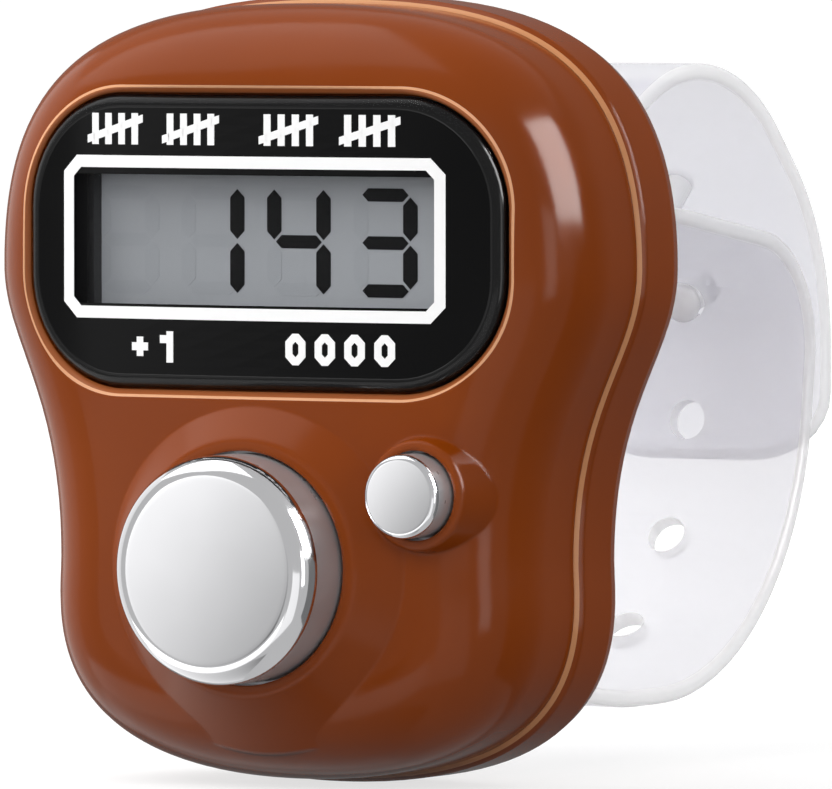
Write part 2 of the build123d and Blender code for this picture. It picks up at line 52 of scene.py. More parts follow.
# Photograph: viewing angle, scale at the crown of the case, and where the crown lies across the image
image_width = 832
crown_pixel = 254
pixels_per_metre = 19100
view_azimuth = 30.0
view_elevation = 2.2
view_distance = 0.6
view_reach = 500.0

# Places read from the frame
lens_low, lens_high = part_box("display_lens")
film_low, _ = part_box("lcd_front_polarizer")
rear_low, rear_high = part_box("rear_shell")
_, front_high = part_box("front_shell")
crown_y = lens_low.y
lens_z = (lens_low.z + lens_high.z) / 2
back_y = rear_high.y
part_y = front_high.y
floor_z = rear_low.z
crown_radius = 110.0 * mm
rear_lip = 0.4 * mm

# Window: round corners, clearance in its recess, and the bevelled rim of the recess, with the width of the
# pale line painted along its outer edge as a highlight
lens_corner = 6.0 * mm
lens_fit = 0.12 * mm
lens_straight_x = (lens_high.x - lens_low.x) / 2 - lens_corner
lens_straight_z = (lens_high.z - lens_low.z) / 2 - lens_corner
recess_rim = 0.4 * mm
rim_highlight_width = 0.14 * mm

# Black label on the window, rolled back at its edge
label_rise = 0.015 * mm
label_roll = 0.7 * mm
label_fall = 0.5 * mm
label_rows = 8
corner_steps = 12
side_steps = 16
crown_cuts = 7
# Painted shade: the black label reaches this far in above and below the display, standing in for the shadow
# at the edges of the recessed display
painted_shade_above = 0.35 * mm
painted_shade_below = 0.15 * mm

# White print on the label: frame round the display, tally strokes above it, plus one and zeros below it
print_rise = 0.035 * mm
print_thickness = 0.03 * mm
frame_left = -12.05 * mm
frame_right = 11.25 * mm
frame_low = 3.85 * mm
frame_high = 12.45 * mm
frame_chamfer = 0.85 * mm
frame_stroke = 0.64 * mm
mark_stroke = 0.42 * mm
mark_height = 1.65 * mm
upper_marks_z = 13.85 * mm
lower_marks_z = 2.4 * mm
tally_strokes = 4
tally_pitch = 0.85 * mm
tally_spots = [place * mm for place in (-8.7, -3.9, 2.1, 6.9)]
slash_reach = 2.1 * tally_pitch
slash_rise = mark_height / 3
plus_arm = 0.62 * mark_height
plus_x = -7.1 * mm
one_x = -5.2 * mm
zero_count = 4
zero_pitch = 1.75 * mm
zero_middle = 5.15 * mm
zero_width = 1.2 * mm

# Digits of the display
digit_width = 3.88 * mm
digit_height = 5.72 * mm
digit_pitch = 5.26 * mm
last_digit_x = 6.41 * mm
upright_stroke = 0.88 * mm
upright_reach = 0.33 * mm
level_stroke = 0.7 * mm
segment_gap = 0.1 * mm
segment_rise = 0.02 * mm
digits_shown = " 143"
digits_without_bars = "14"
segments_of = {" ": "", "1": "bc", "4": "bcfg", "3": "abcdg"}

# Buttons: round face with a slight dome, rolled edge, flange behind the rim, hollow back and stem
button_wall = 0.9 * mm
button_steps = 24
button_sides = 96
flange_depth = 0.7 * mm
count_radius = 6.0 * mm
count_edge = 1.2 * mm
count_dome = 0.22 * mm
count_flange_front = 0.0 * mm
count_stem = 2.0 * mm
reset_radius = 2.2 * mm
reset_edge = 0.35 * mm
reset_dome = 0.08 * mm
reset_flange_front = 0.8 * mm
reset_stem = 1.0 * mm

# Snap domes under the buttons; in the real switch they are pressed almost flat at the end of the stroke
dome_sheet = 0.1 * mm
dome_steps = 12
dome_sides = 48

# Silicone straps
strap_width = 15.0 * mm
strap_thickness = 0.9 * mm
strap_edge = 0.32 * mm
strap_tip = 4.0 * mm
strap_step = 0.7 * mm
tip_steps = 8
edge_steps = 4
bend_steps = 16
anchor_depth = 1.9 * mm
anchor_height = 2.2 * mm
anchor_back = -2.45 * mm
upper_slot_z = 9.6 * mm
lower_slot_z = -16.2 * mm
peg_count = 2
peg_pitch = 7.0 * mm
peg_from_tip = 9.7 * mm
peg_hole_radius = 1.1 * mm
peg_sides = 28
holes_below = 3
holes_above = 1

# Routes of the straps in millimetres, back from the rear face and up from the finger axis, and their bends
upper_route = [(-2.45, 9.6), (5.0, 9.6), (24.2, 19.4), (36.6, 7.0), (36.6, -3.2), (35.05, -4.95)]
upper_radii = [12.0, 12.5, 14.0, 4.6]
lower_route = [(-2.45, -16.2), (4.0, -16.2), (13.5, -17.3), (32.4, -17.3), (35.5, 6.4), (17.0, 9.2)]
lower_radii = [20.0, 20.0, 17.0, 6.2]

# Peg of the upper strap in millimetres: radius, and height above the strap
peg_profile = [
    (0.8, -0.4),
    (0.8, 2.35),
    (0.92, 2.5),
    (1.12, 2.62),
    (1.15, 2.78),
    (1.02, 3.0),
    (0.72, 3.15),
    (0.3, 3.2),
]

# Signs of the four corners of a section or outline, counted round it, and the least bend that stays sharp
corner_signs = ((1, 1), (-1, 1), (-1, -1), (1, -1))
sharp_bend = radians(40)

# Noise of the materials, in features per metre, and the part of its range that is used
noise_detail = 3.0
noise_low = 0.3
noise_high = 0.7
tone_scale = 90
gloss_scale = 260
skin_scale = 1400
metal_tone_scale = 150
metal_gloss_scale = 500
metal_skin_scale = 2500
glass_skin_scale = 600
strap_skin_scale = 500

# Case: plastic in a row as below, softened edges, and painted highlights: a lighter tone on the recess rim,
# a paler line along its outer edge, and a pale line on the rear lip
case_row = ((0.2, 0.035, 0.0008), (0.22, 0.04, 0.0015), 0.13, 0.19, 1.5e-6, 0.2)
case_edge = 0.3 * mm
case_edge_samples = 6
recess_highlight_tone = (0.34, 0.1, 0.032)
rim_highlight_tone = (0.72, 0.36, 0.19)
lip_highlight_tone = (0.55, 0.25, 0.11)

# Plastic, rubber and print: dark and light tone, least and most roughness, depth of the skin, specular level
plastic_rows = {
    "mask_black": ((0.004, 0.004, 0.0045), (0.007, 0.007, 0.0075), 0.25, 0.35, 1e-6, 0.5),
    "label_black": ((0.002, 0.002, 0.0022), (0.003, 0.003, 0.0032), 0.08, 0.13, 5e-7, 0.1),
    "label_edge": ((0.002, 0.002, 0.0022), (0.003, 0.003, 0.0032), 0.12, 0.16, 5e-7, 0.25),
    "tape_black": ((0.01, 0.01, 0.01), (0.016, 0.016, 0.016), 0.6, 0.75, 8e-6, 0.5),
    "bezel_black": ((0.008, 0.008, 0.009), (0.014, 0.014, 0.015), 0.4, 0.55, 4e-6, 0.5),
    "lcd_grey": ((0.4, 0.42, 0.45), (0.42, 0.44, 0.47), 0.35, 0.5, 1e-6, 0.5),
    "zebra_rubber": ((0.02, 0.02, 0.022), (0.3, 0.28, 0.27), 0.6, 0.7, 4e-6, 0.5),
    "board_green": ((0.012, 0.075, 0.03), (0.018, 0.11, 0.045), 0.3, 0.42, 4e-6, 0.5),
    "resin_black": ((0.006, 0.006, 0.006), (0.012, 0.012, 0.012), 0.25, 0.4, 8e-6, 0.5),
    "chip_dark": ((0.03, 0.025, 0.02), (0.05, 0.042, 0.034), 0.45, 0.6, 4e-6, 0.5),
    "switch_black": ((0.012, 0.012, 0.012), (0.02, 0.02, 0.02), 0.45, 0.6, 4e-6, 0.5),
    "print_white": ((0.97, 0.97, 0.97), (1.0, 1.0, 1.0), 0.4, 0.5, 1e-6, 0.5),
    "segment_dark": ((0.003, 0.003, 0.0035), (0.005, 0.005, 0.0055), 0.4, 0.5, 1e-6, 0.1),
    "segment_idle": ((0.38, 0.4, 0.43), (0.4, 0.42, 0.45), 0.4, 0.5, 1e-6, 0.5),
}

# Metal: dark and light tone, least and most roughness, depth of the skin, and how metallic it is
metal_rows = {
    "sheet_steel": ((0.5, 0.5, 0.5), (0.62, 0.62, 0.61), 0.25, 0.4, 4e-6, 1.0),
    "screw_steel": ((0.36, 0.36, 0.37), (0.48, 0.48, 0.48), 0.28, 0.42, 5e-6, 1.0),
    "button_chrome": ((0.72, 0.72, 0.735), (0.77, 0.77, 0.785), 0.07, 0.11, 2e-7, 1.0),
    # The side is a darker, less metallic copy of the chrome: painted shade for the dark reflections round
    # the button's side
    "button_side_shaded": ((0.5, 0.51, 0.53), (0.55, 0.56, 0.58), 0.26, 0.34, 2e-7, 0.6),
}

# See-through layers: tone, share of cover, roughness, scale and depth of the skin, and how milky they are
clear_rows = {
    "window_clear": ((0.02, 0.02, 0.022), 0.04, 0.04, glass_skin_scale, 5e-7, 0.0),
    "lcd_glass": ((0.5, 0.53, 0.56), 0.2, 0.05, glass_skin_scale, 5e-7, 0.0),
    "strap_face": ((0.74, 0.74, 0.82), 0.3, 0.3, strap_skin_scale, 8e-6, 0.8),
    # The rim is a lighter, denser copy of the face silicone: a painted highlight on the strap's rounded
    # edges, ends, hole walls and pegs
    "strap_rim_lit": ((0.9, 0.9, 0.93), 0.55, 0.25, strap_skin_scale, 5e-6, 0.8),
}
milky_depth = 2.0 * mm

# Material of each node of the frame that is shown as it is
finishes = {
    "front_shell": "case_brown",
    "rear_shell": "rear_brown",
    "display_lens": "window_clear",
    "lens_mask": "mask_black",
    "lens_adhesive": "tape_black",
    "lcd_bezel": "bezel_black",
    "lcd_front_polarizer": "lcd_grey",
    "lcd_reflector": "lcd_grey",
    "lcd_front_glass": "lcd_glass",
    "lcd_rear_glass": "lcd_glass",
    "zebra_connector": "zebra_rubber",
    "circuit_board": "board_green",
    "chip_blob": "resin_black",
    "resistor": "chip_dark",
    "capacitor": "chip_dark",
    "count_switch_base": "switch_black",
    "reset_switch_base": "switch_black",
    "count_switch_plunger": "switch_black",
    "reset_switch_plunger": "switch_black",
    "count_switch_cover": "sheet_steel",
    "reset_switch_cover": "sheet_steel",
    "button_cell": "sheet_steel",
    "cell_clip": "sheet_steel",
    "cell_spring": "sheet_steel",
    "case_screws": "screw_steel",
    "board_screws": "screw_steel",
}

# Floor, which looks a little darker near the object, and white surroundings
white = (1.0, 1.0, 1.0, 1.0)
black = (0.0, 0.0, 0.0, 1.0)
floor_tone = (0.3, 0.3, 0.3, 1.0)
floor_roughness = 0.9
floor_glow_near = 0.7
floor_glow_far = 0.9
floor_fade = 0.6
floor_size = 60.0
world_light = 0.4
world_mirrored = 0.6
studio_middle = Vector((0, crown_y, 0))

# Lamps: azimuth and elevation in degrees, distance, width and height in metres, brightness
lamp_rows = {
    "key_box": (-63, 55, 0.45, 0.4, 0.4, 3.7),
    "front_fill": (10, 20, 0.6, 0.4, 0.4, 2.7),
    "rear_fill": (150, 25, 0.6, 0.5, 0.5, 3.0),
    "right_fill": (75, 5, 0.6, 0.4, 0.4, 1.1),
    "left_fill": (-85, 6, 0.6, 0.4, 0.4, 4.5),
}

# Lamp on the right shoulder that shows only in glossy surfaces, in a row of the same kind
shoulder_row = (87, 28, 0.3, 0.18, 0.2, 18.0)

# Half of the unit square that each card is scaled from
unit_half = 0.5

# Cards for glossy surfaces: azimuth, elevation, distance, width, height, least and most brightness
card_rows = {
    "key_card": (-63, 55, 0.45, 0.4, 0.4, 1.4, 2.2),
    "low_card": (-40, -35, 0.3, 0.5, 0.12, 1.2, 2.0),
    "left_card": (-100, -2, 0.35, 0.3, 0.45, 0.8, 1.2),
    "under_card": (-70, -58, 0.33, 0.5, 0.34, 0.2, 1.5),
    "left_flag": (-152, 0, 0.4, 0.5, 0.6, 0.2, 0.2),
    "band_card": (60, -1, 0.3, 0.07, 0.13, 3.3, 3.3),
    "button_card": (-30, -2, 0.3, 0.16, 0.16, 0.0, 2.0),
    "roll_card": (25, -22, 0.25, 0.16, 0.16, 1.1, 1.2),
    "side_card": (115, 0, 0.35, 0.35, 0.6, 0.2, 0.2),
    "rear_card": (165, 0, 0.3, 0.45, 0.6, 0.2, 0.2),
}


# Materials


def plain_material(name):
    """New material with one principled shader."""
    material = bpy.data.materials.new(name)
    material.use_nodes = True
    return material


def shader_of(material):
    """The principled shader of a material."""
    return material.node_tree.nodes["Principled BSDF"]


def noise(material, scale):
    """Noise in the frame's own coordinates, so that grain has a real size."""
    tree = material.node_tree
    place = tree.nodes.new("ShaderNodeTexCoord")
    texture = tree.nodes.new("ShaderNodeTexNoise")
    texture.inputs["Scale"].default_value = scale
    texture.inputs["Detail"].default_value = noise_detail
    tree.links.new(place.outputs["Object"], texture.inputs["Vector"])
    return texture.outputs["Fac"]


def vary_colour(material, dark, light, scale):
    """Base colour that drifts between two tones."""
    tree = material.node_tree
    ramp = tree.nodes.new("ShaderNodeValToRGB")
    first, last = ramp.color_ramp.elements
    first.position = noise_low
    first.color = (*dark, 1.0)
    last.position = noise_high
    last.color = (*light, 1.0)
    tree.links.new(noise(material, scale), ramp.inputs["Fac"])
    tree.links.new(ramp.outputs["Color"], shader_of(material).inputs["Base Color"])


def vary_gloss(material, smooth, rough, scale):
    """Roughness that drifts between two values."""
    tree = material.node_tree
    drift = tree.nodes.new("ShaderNodeMapRange")
    drift.inputs["From Min"].default_value = noise_low
    drift.inputs["From Max"].default_value = noise_high
    drift.inputs["To Min"].default_value = smooth
    drift.inputs["To Max"].default_value = rough
    tree.links.new(noise(material, scale), drift.inputs["Value"])
    tree.links.new(drift.outputs["Result"], shader_of(material).inputs["Roughness"])


def add_skin(material, scale, depth):
    """Fine relief of a given depth."""
    tree = material.node_tree
    bump = tree.nodes.new("ShaderNodeBump")
    bump.inputs["Distance"].default_value = depth
    tree.links.new(noise(material, scale), bump.inputs["Height"])
    tree.links.new(bump.outputs["Normal"], shader_of(material).inputs["Normal"])
    return bump


def moulded(name, dark, light, smooth, rough, skin_depth, specular):
    """Moulded plastic: slight drift of tone, uneven gloss and a fine skin. Also the skin's relief."""
    material = plain_material(name)
    shader_of(material).inputs["Specular IOR Level"].default_value = specular
    vary_colour(material, dark, light, tone_scale)
    vary_gloss(material, smooth, rough, gloss_scale)
    return material, add_skin(material, skin_scale, skin_depth)


def case_plastic(name):
    """Glossy brown plastic of the case, whose edges catch the light as if they were rounded."""
    material, relief = moulded(name, *case_row)
    tree = material.node_tree
    bevel = tree.nodes.new("ShaderNodeBevel")
    bevel.samples = case_edge_samples
    bevel.inputs["Radius"].default_value = case_edge
    tree.links.new(bevel.outputs["Normal"], relief.inputs["Normal"])
    return material


def metal(name, dark, light, smooth, rough, skin_depth, metallic):
    """Bare or plated metal. A less metallic one is duller."""
    material = plain_material(name)
    shader_of(material).inputs["Metallic"].default_value = metallic
    vary_colour(material, dark, light, metal_tone_scale)
    vary_gloss(material, smooth, rough, metal_gloss_scale)
    add_skin(material, metal_skin_scale, skin_depth)
    return material


def clear(name, tone, cover, roughness, scale, skin_depth, milky):
    """See-through layer with a plain share of cover. A milky one scatters light inside."""
    material = plain_material(name)
    shader = shader_of(material)
    shader.inputs["Base Color"].default_value = (*tone, 1.0)
    shader.inputs["Alpha"].default_value = cover
    shader.inputs["Roughness"].default_value = roughness
    shader.inputs["Subsurface Weight"].default_value = milky
    shader.inputs["Subsurface Radius"].default_value = (1.0, 1.0, 1.0)
    shader.inputs["Subsurface Scale"].default_value = milky_depth
    add_skin(material, scale, skin_depth)
    return material


def paint_where(material, value, middle, half_width, tone):
    """Lays a tone over the base colour where a value is within a half width of a middle."""
    tree = material.node_tree
    base = shader_of(material).inputs["Base Color"]
    inside = tree.nodes.new("ShaderNodeMath")
    inside.operation = "COMPARE"
    inside.inputs[1].default_value = middle
    inside.inputs[2].default_value = half_width
    blend = tree.nodes.new("ShaderNodeMixRGB")
    blend.inputs["Color2"].default_value = (*tone, 1.0)
    tree.links.new(value, inside.inputs[0])
    tree.links.new(inside.outputs["Value"], blend.inputs["Fac"])
    tree.links.new(base.links[0].from_socket, blend.inputs["Color1"])
    tree.links.new(blend.outputs["Color"], base)


def depth_in_frame(material):
    """Place along Y."""
    tree = material.node_tree
    place = tree.nodes.new("ShaderNodeTexCoord")
    parts = tree.nodes.new("ShaderNodeSeparateXYZ")
    tree.links.new(place.outputs["Object"], parts.inputs["Vector"])
    return parts.outputs["Y"]


def reach_from_window(material):
    """Distance out from the window's round corners, carried on along its straight sides."""
    tree = material.node_tree

    def vector(operation, first, second=None):
        """Outputs of one step of vector arithmetic."""
        step = tree.nodes.new("ShaderNodeVectorMath")
        step.operation = operation
        tree.links.new(first, step.inputs[0])
        if second:
            step.inputs[1].default_value = second
        return step.outputs

    place = tree.nodes.new("ShaderNodeTexCoord")
    centred = vector("MULTIPLY_ADD", place.outputs["Object"], (1, 0, 1))["Vector"]
    centred.node.inputs[2].default_value = (0, 0, -lens_z)
    folded = vector("ABSOLUTE", centred)["Vector"]
    beyond = vector("SUBTRACT", folded, (lens_straight_x, 0, lens_straight_z))["Vector"]
    return vector("LENGTH", vector("MAXIMUM", beyond, (0, 0, 0))["Vector"])["Value"]


def paint_rim_highlight(material, middle, half_width, tone):
    """Painted highlight: a lighter line round the window's recess, at a distance out from the recess wall.
    """
    wall = lens_corner + lens_fit
    paint_where(material, reach_from_window(material), wall + middle, half_width, tone)


materials = {"case_brown": case_plastic("case_brown"), "rear_brown": case_plastic("rear_brown")}
for name, row in plastic_rows.items():
    materials[name], _ = moulded(name, *row)
for name, row in metal_rows.items():
    materials[name] = metal(name, *row)
for name, row in clear_rows.items():
    materials[name] = clear(name, *row)
# Painted highlight on the recess rim: a lighter brown over its bevel and a pale line at its outer edge
paint_rim_highlight(materials["case_brown"], recess_rim / 2, recess_rim / 2, recess_highlight_tone)
paint_rim_highlight(materials["case_brown"], recess_rim - rim_highlight_width / 2, rim_highlight_width / 2, rim_highlight_tone)
# Painted highlight: a pale tan line along the rear lip where the shells part
rear_depth = depth_in_frame(materials["rear_brown"])
paint_where(materials["rear_brown"], rear_depth, part_y + rear_lip / 4, rear_lip / 4, lip_highlight_tone)
for node, finish in finishes.items():
    nodes[node].data.materials.clear()
    nodes[node].data.materials.append(materials[finish])


# Pieces in general


def add_object(name, shape, coats):
    """Object in the scene from a bmesh and its materials."""
    mesh = bpy.data.meshes.new(name)
    shape.to_mesh(mesh)
    shape.free()
    for coat in coats:
        mesh.materials.append(coat)
    item = bpy.data.objects.new(name, mesh)
    bpy.context.scene.collection.objects.link(item)
    return item


def add_piece(name, shape, slot, *finish_names, body="case"):
    """Piece of the object from a bmesh, riding on a body."""
    bmesh.ops.recalc_face_normals(shape, faces=shape.faces)
    piece = add_object(name, shape, [materials[finish] for finish in finish_names])
    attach(piece, body)
    return piece


def thicken(piece, thickness):
    """Gives a flat piece its thickness, half of it to each side."""
    solid = piece.modifiers.new("thickness", "SOLIDIFY")
    solid.thickness = thickness
    solid.offset = 0


def bridge(shape, rings, material_index):
    """Smooth faces between closed rings of as many points each. Gives the faces in rows."""
    rows = []
    for first, second in zip(rings, rings[1:]):
        row = []
        for spot in range(len(first)):
            after = (spot + 1) % len(first)
            face = shape.faces.new((first[spot], first[after], second[after], second[spot]))
            face.material_index = material_index
            face.smooth = True
            row.append(face)
        rows.append(row)
    return rows


def add_turned(shape, profile, seat, material_index, sides):
    """Round form from a profile in radius and height, set on a seat."""
    rings = []
    for radius, height in profile:
        ring = []
        for step in range(sides):
            angle = 2 * pi * step / sides
            spot = Vector((radius * cos(angle), radius * sin(angle), height))
            ring.append(shape.verts.new(seat @ spot))
        rings.append(ring)
    bridge(shape, rings, material_index)
    for ring in (rings[0], rings[-1]):
        shape.faces.new(ring).material_index = material_index


# Label, print and digits


def add_patch(shape, corners):
    """Flat face from corners in X and Z."""
    shape.faces.new([shape.verts.new((x, 0, z)) for x, z in corners])


def add_bar(shape, x, z, width, height):
    """Upright rectangle about its middle."""
    left = x - width / 2
    right = x + width / 2
    low = z - height / 2
    high = z + height / 2
    add_patch(shape, [(left, low), (right, low), (right, high), (left, high)])


def chamfered(left, right, low, high, chamfer):
    """Corners of an upright rectangle with chamfered corners, in X and Z."""
    return [
        (left + chamfer, low),
        (right - chamfer, low),
        (right, low + chamfer),
        (right, high - chamfer),
        (right - chamfer, high),
        (left + chamfer, high),
        (left, high - chamfer),
        (left, low + chamfer),
    ]


def add_chamfered_ring(shape, left, right, low, high, chamfer, stroke):
    """Chamfered frame of an even stroke, drawn inwards from its outer edge."""
    inner_chamfer = chamfer - stroke * (2 - sqrt(2))
    outer = chamfered(left, right, low, high, chamfer)
    inner = chamfered(left + stroke, right - stroke, low + stroke, high - stroke, inner_chamfer)
    for spot in range(len(outer)):
        after = (spot + 1) % len(outer)
        add_patch(shape, [outer[spot], outer[after], inner[after], inner[spot]])


def add_tally(shape, x):
    """Upright strokes and a slash through them."""
    for stroke in range(tally_strokes):
        aside = (stroke - (tally_strokes - 1) / 2) * tally_pitch
        add_bar(shape, x + aside, upper_marks_z, mark_stroke, mark_height)
    half = mark_stroke / 2
    start = upper_marks_z - slash_rise
    end = upper_marks_z + slash_rise
    left = x - slash_reach
    right = x + slash_reach
    add_patch(shape, [(left, start - half), (right, end - half), (right, end + half), (left, start + half)])


def crown_depth(x):
    """Depth of the crowned window front at a place across it."""
    return crown_y + crown_radius - sqrt(crown_radius**2 - x**2)


def between(first, last):
    """Places at even steps between two corners in X and Z."""
    run = last[0] - first[0]
    climb = last[1] - first[1]
    shares = [step / side_steps for step in range(1, side_steps)]
    return [(first[0] + run * share, first[1] + climb * share) for share in shares]


def inside_window(inset):
    """Outline of the window with round corners, drawn in by an inset and divided along its sides."""
    radius = lens_corner - inset
    loop = []
    for corner, (side, face) in enumerate(corner_signs):
        centre_x = side * lens_straight_x
        centre_z = lens_z + face * lens_straight_z
        angles = [pi / 2 * (corner + step / corner_steps) for step in range(corner_steps + 1)]
        arc = [(centre_x + radius * cos(angle), centre_z + radius * sin(angle)) for angle in angles]
        if loop:
            loop += between(loop[-1], arc[0])
        loop += arc
    return loop + between(loop[-1], loop[0])


def add_loop(shape, corners):
    """Closed line of edges through corners in X and Z."""
    spots = [shape.verts.new((x, 0, z)) for x, z in corners]
    return [shape.edges.new((a, b)) for a, b in zip(spots, spots[1:] + spots[:1])]


def lay_on_crown(shape, rise):
    """Sets a flat shape on the crowned front of the window."""
    bmesh.ops.subdivide_edges(shape, edges=shape.edges, cuts=crown_cuts, use_grid_fill=True)
    for vertex in shape.verts:
        vertex.co.y = crown_depth(vertex.co.x) - rise


def window_label():
    """Glossy black label over the window, rolled back at its edge and open in front of the display, its
    opening drawn in above and below as painted shade.
    """
    shape = bmesh.new()
    inset = frame_stroke / 2
    left = frame_left + inset
    right = frame_right - inset
    low = frame_low + frame_stroke + painted_shade_below
    high = frame_high - frame_stroke - painted_shade_above
    edges = add_loop(shape, inside_window(label_roll))
    edges += add_loop(shape, chamfered(left, right, low, high, frame_chamfer / 2))
    bmesh.ops.triangle_fill(shape, edges=edges, use_beauty=True)
    lay_on_crown(shape, label_rise)
    rows = []
    for step in range(label_rows + 1):
        angle = pi / 2 * step / label_rows
        fall = label_fall * (1 - cos(angle)) - label_rise
        outline = inside_window(label_roll * (1 - sin(angle)))
        rows.append([shape.verts.new((x, crown_depth(x) + fall, z)) for x, z in outline])
    bridge(shape, rows, 1)
    label = add_piece("window_label", shape, "mask_black", "label_black", "label_edge")
    thicken(label, print_thickness / 2)


def window_print():
    """White frame round the display, tally strokes over it, and plus one and zeros under it."""
    shape = bmesh.new()
    add_chamfered_ring(shape, frame_left, frame_right, frame_low, frame_high, frame_chamfer, frame_stroke)
    for x in tally_spots:
        add_tally(shape, x)
    side = (plus_arm - mark_stroke) / 2
    add_bar(shape, plus_x, lower_marks_z, mark_stroke, plus_arm)
    for end in (-1, 1):
        add_bar(shape, plus_x + end * (mark_stroke + side) / 2, lower_marks_z, side, mark_stroke)
    low = lower_marks_z - mark_height / 2
    high = low + mark_height
    flag_z = lower_marks_z + mark_height / 2 - mark_stroke
    add_bar(shape, one_x, lower_marks_z, mark_stroke, mark_height)
    add_bar(shape, one_x - mark_stroke, flag_z, mark_stroke, mark_stroke)
    for place in range(zero_count):
        left = zero_middle + (place - (zero_count - 1) / 2) * zero_pitch - zero_width / 2
        add_chamfered_ring(shape, left, left + zero_width, low, high, mark_stroke, mark_stroke)
    lay_on_crown(shape, print_rise)
    thicken(add_piece("window_print", shape, "mask_black", "print_white"), print_thickness)


def segment(x, z, length, stroke, upright):
    """Corners of one display segment with pointed ends."""
    half = length / 2 - segment_gap
    side = stroke / 2
    tip = half - side
    along = [(-half, 0), (-tip, -side), (tip, -side), (half, 0), (tip, side), (-tip, side)]
    if upright:
        return [(x + across, z + run) for run, across in along]
    return [(x + run, z + across) for run, across in along]


def digit_segments(x, reach):
    """The seven segments of a digit by their usual letters, the uprights longer outwards by a reach."""
    wide = digit_width - upright_stroke
    tall = (digit_height - level_stroke) / 2
    long = tall + reach
    right = x + wide / 2
    left = x - wide / 2
    level = (wide, level_stroke, False)
    upright = (long, upright_stroke, True)
    return {
        "a": segment(x, lens_z + tall, *level),
        "b": segment(right, lens_z + long / 2, *upright),
        "c": segment(right, lens_z - long / 2, *upright),
        "d": segment(x, lens_z - tall, *level),
        "e": segment(left, lens_z - long / 2, *upright),
        "f": segment(left, lens_z + long / 2, *upright),
        "g": segment(x, lens_z, *level),
    }


def display_digits():
    """Lit segments of the display, and the faint ones that are off."""
    lit = bmesh.new()
    idle = bmesh.new()
    for place, digit in enumerate(digits_shown):
        x = last_digit_x - (len(digits_shown) - 1 - place) * digit_pitch
        reach = upright_reach if digit in digits_without_bars else 0.0
        dark = digit_segments(x, reach)
        faint = digit_segments(x, 0.0)
        for letter in faint:
            if letter in segments_of[digit]:
                add_patch(lit, dark[letter])
            else:
                add_patch(idle, faint[letter])
    for name, shape, finish, rise in (
        ("digits_lit", lit, "segment_dark", segment_rise),
        ("digits_idle", idle, "segment_idle", segment_rise / 2),
    ):
        for vertex in shape.verts:
            vertex.co.y = film_low.y - rise
        thicken(add_piece(name, shape, "lcd_grey", finish), segment_rise / 2)


# Buttons and snap domes


def seat_along_y(middle):
    """Matrix that turns a form drawn upwards along Y, about an axis through a place."""
    seat = Matrix(((1, 0, 0), (0, 0, 1), (0, -1, 0))).to_4x4()
    seat.translation = middle
    return seat


def plated_button(node, radius, edge, dome, flange_front, stem):
    """Plated cap in the place of a button of the frame, turned about its own axis along Y."""
    low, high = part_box(node)
    ball = (radius**2 + dome**2) / (2 * dome)
    roll = radius - edge
    roll_y = low.y + ball - sqrt((ball - edge) ** 2 - roll**2)
    lean = asin(roll / (ball - edge))
    profile = []
    for step in range(1, button_steps + 1):
        across = ball * sin(lean * step / button_steps)
        profile.append((across, low.y + ball - sqrt(ball**2 - across**2)))
    for step in range(1, button_steps + 1):
        angle = lean + (pi / 2 - lean) * step / button_steps
        profile.append((roll + edge * sin(angle), roll_y - edge * cos(angle)))
    front = crown_y + flange_front
    back = front + flange_depth
    roof = low.y + edge + button_wall
    flange = (high.x - low.x) / 2
    hollow = radius - button_wall
    profile += [(radius, front), (flange, front), (flange, back)]
    profile += [(hollow, back), (hollow, roof), (stem, roof), (stem, high.y)]
    seat = seat_along_y(Vector(((low.x + high.x) / 2, 0, (low.z + high.z) / 2)))
    shape = bmesh.new()
    add_turned(shape, profile, seat, 0, button_sides)
    # Painted shade: the faces behind the rolled edge take the darker copy of the chrome
    for face in shape.faces:
        face.material_index = int(face.calc_center_median().y > roll_y)
    piece = add_piece(node + "_cap", shape, "button_chrome", "button_chrome", "button_side_shaded", body=node)
    piece.data.set_sharp_from_angle(angle=sharp_bend)
    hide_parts(node)


def snap_dome(name, node):
    """Domed spring in the place of one of the frame."""
    low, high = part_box(node)
    radius = (high.x - low.x) / 2
    height = high.y - low.y
    outer = (radius**2 + height**2) / (2 * height)
    inner = outer - dome_sheet
    profile = []
    for step in range(1, dome_steps + 1):
        angle = asin(radius / outer) * step / dome_steps
        profile.append((outer * sin(angle), low.y + outer - outer * cos(angle)))
    for step in range(dome_steps, 0, -1):
        angle = acos((outer - height) / inner) * step / dome_steps
        profile.append((inner * sin(angle), low.y + outer - inner * cos(angle)))
    shape = bmesh.new()
    middle = Vector(((low.x + high.x) / 2, 0, (low.z + high.z) / 2))
    add_turned(shape, profile, seat_along_y(middle), 0, dome_sides)
    dome = add_piece(name, shape, "sheet_steel", "sheet_steel")
    dome.data.set_sharp_from_angle(angle=sharp_bend)
    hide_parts(node)
    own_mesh(dome)


# Straps


def rounded_route(points, radii):
    """Places along a strap's middle line in Y and Z, with rounded corners."""
    corners = [Vector((back_y + back * mm, up * mm)) for back, up in points]
    line = [corners[0]]
    for place, radius in enumerate(radii, start=1):
        before = (corners[place - 1] - corners[place]).normalized()
        after = (corners[place + 1] - corners[place]).normalized()
        half = before.angle(after) / 2
        centre = corners[place] + (before + after).normalized() * (radius * mm / sin(half))
        start = corners[place] + before * (radius * mm * cos(half) / sin(half)) - centre
        sweep = pi - 2 * half
        if before.x * after.y - before.y * after.x > 0:
            sweep = -sweep
        for step in range(bend_steps + 1):
            line.append(centre + Matrix.Rotation(sweep * step / bend_steps, 2) @ start)
    line.append(corners[-1])
    return line


def route_length(line):
    """Length of a route."""
    return sum((b - a).length for a, b in zip(line, line[1:]))


